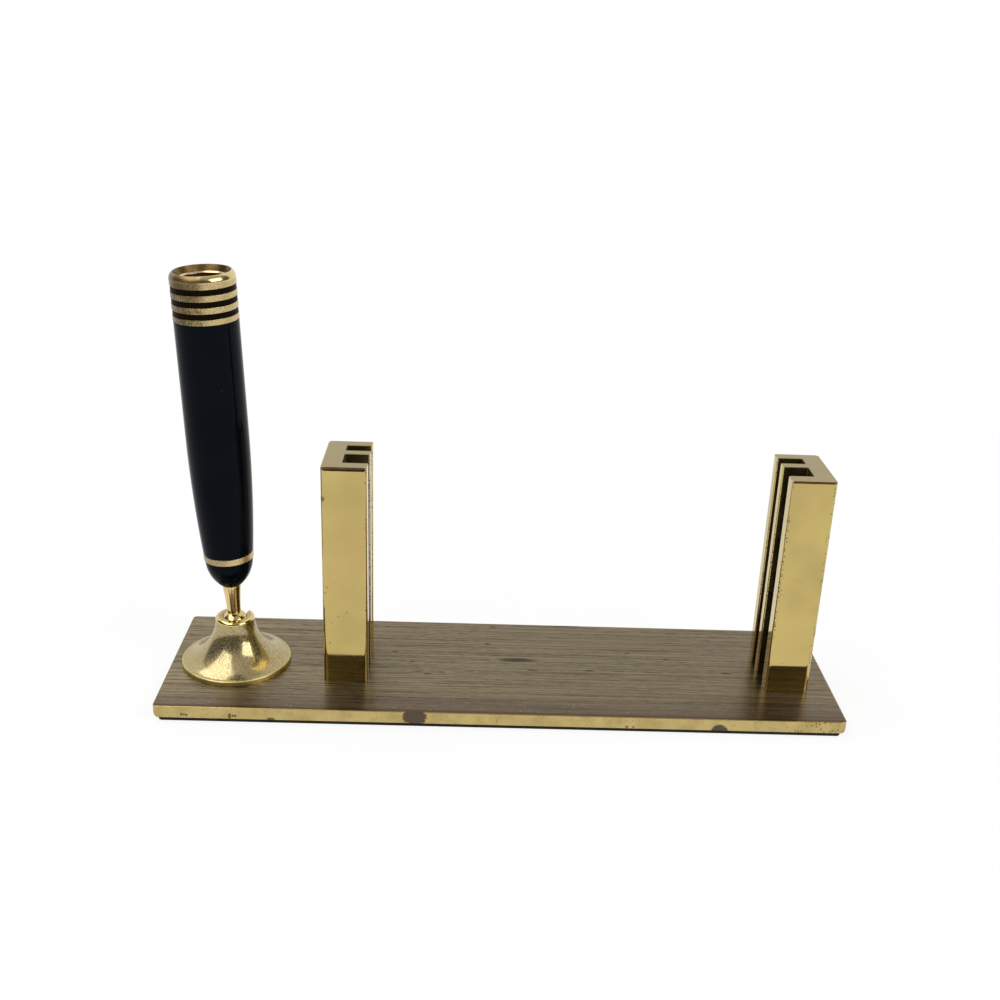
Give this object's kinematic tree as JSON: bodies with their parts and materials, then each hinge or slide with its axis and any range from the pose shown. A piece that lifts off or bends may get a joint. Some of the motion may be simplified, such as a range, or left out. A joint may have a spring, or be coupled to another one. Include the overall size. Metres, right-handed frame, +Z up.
{
  "type": "pen and card holder",
  "caption": "Brass desk stand: slotted posts hold business cards upright, and a pen holder leans and turns on a ball joint in a trumpet foot.",
  "frame": {"origin": "on the desk, under the middle of the base plate (underside of the felt pad)", "axes": "+X along the plate, to the right as the viewer faces the cards; +Y away from the viewer; +Z up"},
  "size_m": [0.14, 0.0388, 0.0877],
  "materials": {
    "antique_brass": "dark antique brass, brushed lengthwise, with polished edges",
    "felt": "black felt",
    "polished_brass": "mirror-polished yellow brass",
    "satin_brass": "fine-grained satin brass plating",
    "collar_brass": "brass with fine lengthwise scratches",
    "liner_brass": "drawn brass tube, dulled inside",
    "screw_steel": "plain zinc-plated steel",
    "cup_plastic": "natural acetal",
    "gloss_black": "polished blue-black plastic",
    "black_enamel": "black enamel filling"
  },
  "bodies": {
    "base": {"base_plate": "antique_brass", "base_pad": "felt", "left_upright": "polished_brass", "right_upright": "polished_brass", "upright_screws": "screw_steel", "swivel_bell": "satin_brass", "bell_plug": "polished_brass", "bell_screw": "screw_steel", "spring_washers": "screw_steel"},
    "seat": {"pressure_cup": "cup_plastic"},
    "stud": {"ball_stud": "polished_brass"},
    "holder": {"holder_tip": "gloss_black", "stud_washer": "screw_steel", "stud_nut": "screw_steel", "waist_ring": "collar_brass", "barrel": "gloss_black", "pen_liner": "liner_brass", "mouth_collar": "collar_brass", "groove_enamel": "black_enamel"}
  },
  "joints": [
    {"name": "holder_swing", "type": "hinge", "parent": "base", "child": "seat", "pos_m": [-0.0566, 0, 0.0124], "axis": [0, 0, 1], "continuous": true},
    {"name": "holder_tilt", "type": "hinge", "parent": "seat", "child": "stud", "pos_m": [-0.0566, 0, 0.0124], "axis": [0.527, -0.8499, 0], "range_deg": [-20.1, 15.4]},
    {"name": "holder_spin", "type": "hinge", "parent": "stud", "child": "holder", "pos_m": [-0.0566, 0, 0.0124], "axis": [-0.035, -0.0217, 0.9992], "continuous": true}
  ]
}
